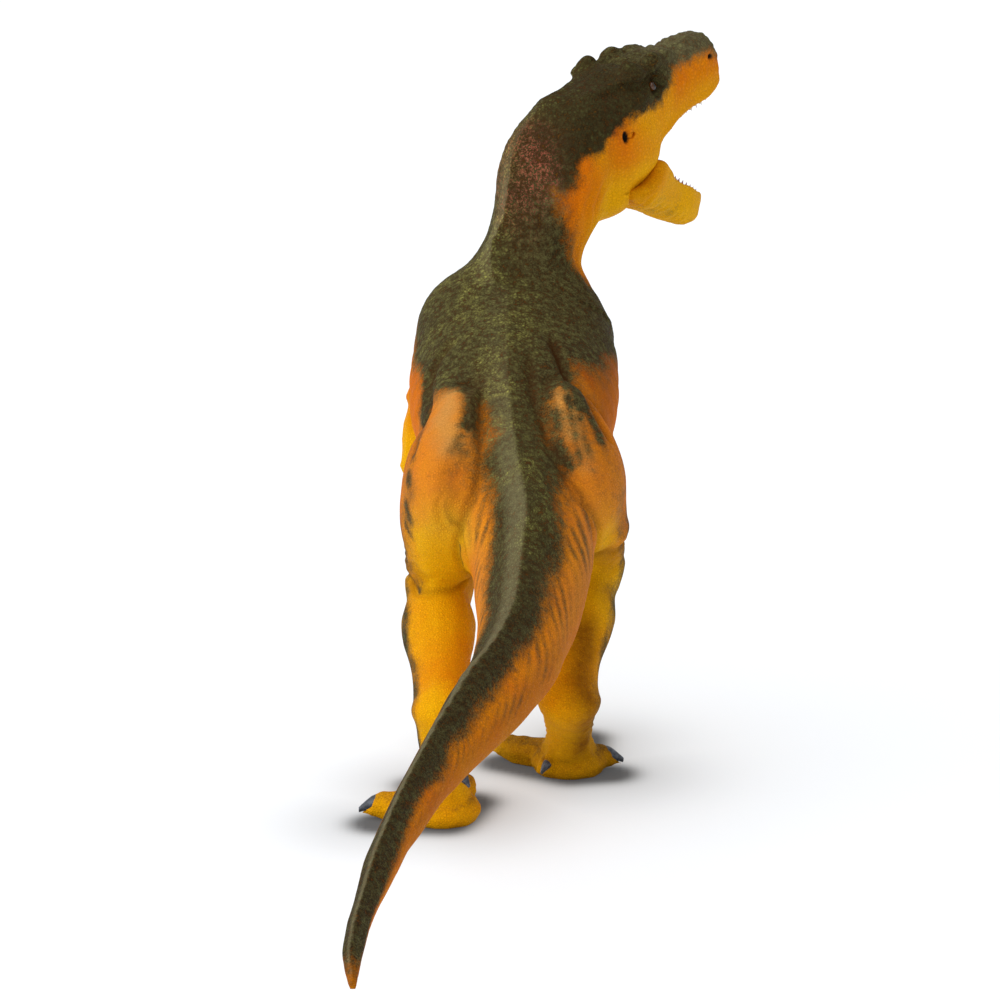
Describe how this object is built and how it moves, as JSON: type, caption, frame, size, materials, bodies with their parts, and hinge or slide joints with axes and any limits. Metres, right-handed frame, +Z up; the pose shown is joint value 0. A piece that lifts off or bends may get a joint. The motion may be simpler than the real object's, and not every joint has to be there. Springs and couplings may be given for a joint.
{
  "type": "toy dinosaur figure",
  "caption": "Standing two-legged meat-eating dinosaur toy figure in painted vinyl, mid-stride, head turned, with a hinged lower jaw.",
  "frame": {"origin": "on the ground, under the middle of the figure's bounding box", "axes": "+Y the way the animal walks, +X its right side, +Z up"},
  "size_m": [0.0894, 0.292, 0.1661],
  "materials": {
    "body_vinyl": "hand-painted olive green back over orange flanks, satin",
    "limb_vinyl": "hand-painted orange and yellow with dark stripes, satin, slate claws",
    "jaw_vinyl": "hand-painted olive yellow, satin",
    "mouth_vinyl": "painted flesh red with off-white teeth, glossy",
    "pin_steel": "plain steel pin"
  },
  "bodies": {
    "figure": {"trunk": "body_vinyl", "tail": "body_vinyl", "neck": "body_vinyl", "head": "body_vinyl", "palate_and_upper_teeth": "mouth_vinyl", "jaw_hinge_pin": "pin_steel", "left_arm": "limb_vinyl", "right_arm": "limb_vinyl", "left_leg": "limb_vinyl", "right_leg": "limb_vinyl"},
    "jaw": {"lower_jaw": "jaw_vinyl", "tongue_and_lower_teeth": "mouth_vinyl"}
  },
  "joints": [
    {"name": "jaw_hinge", "type": "hinge", "parent": "figure", "child": "jaw", "pos_m": [0.01588, 0.11549, 0.1383], "axis": [0.7314, -0.682, 0], "range_deg": [0, 32]}
  ]
}
